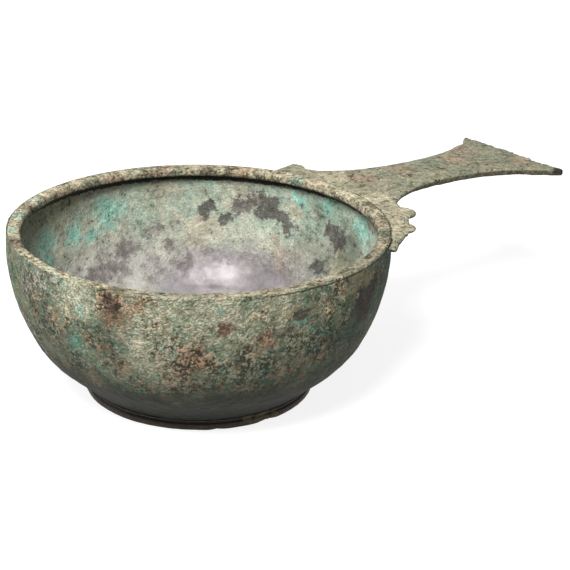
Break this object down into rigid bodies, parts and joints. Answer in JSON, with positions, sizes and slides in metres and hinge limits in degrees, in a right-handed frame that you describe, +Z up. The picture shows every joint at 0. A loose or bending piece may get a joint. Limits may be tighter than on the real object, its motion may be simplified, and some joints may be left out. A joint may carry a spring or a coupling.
{
  "type": "roman patera",
  "caption": "Deep round bronze bowl on a foot ring, with a heavy inset rim, a tinned inside and a flared plate handle that clasps it by a scalloped yoke.",
  "frame": {"origin": "centre of the bowl's foot, on the plane that it stands on", "axes": "+Z is up, +X runs along the handle from the bowl's axis, +Y to the left of it"},
  "size_m": [0.3383, 0.202, 0.09],
  "materials": {
    "bronze": "green corrosion crust",
    "solder": "dull grey soft solder"
  },
  "bodies": {
    "root": {"bowl": "bronze", "rim_ring": "bronze", "foot_ring": "bronze", "handle": "bronze", "rim_solder": "solder", "foot_solder": "solder", "handle_solder": "solder"}
  },
  "joints": []
}
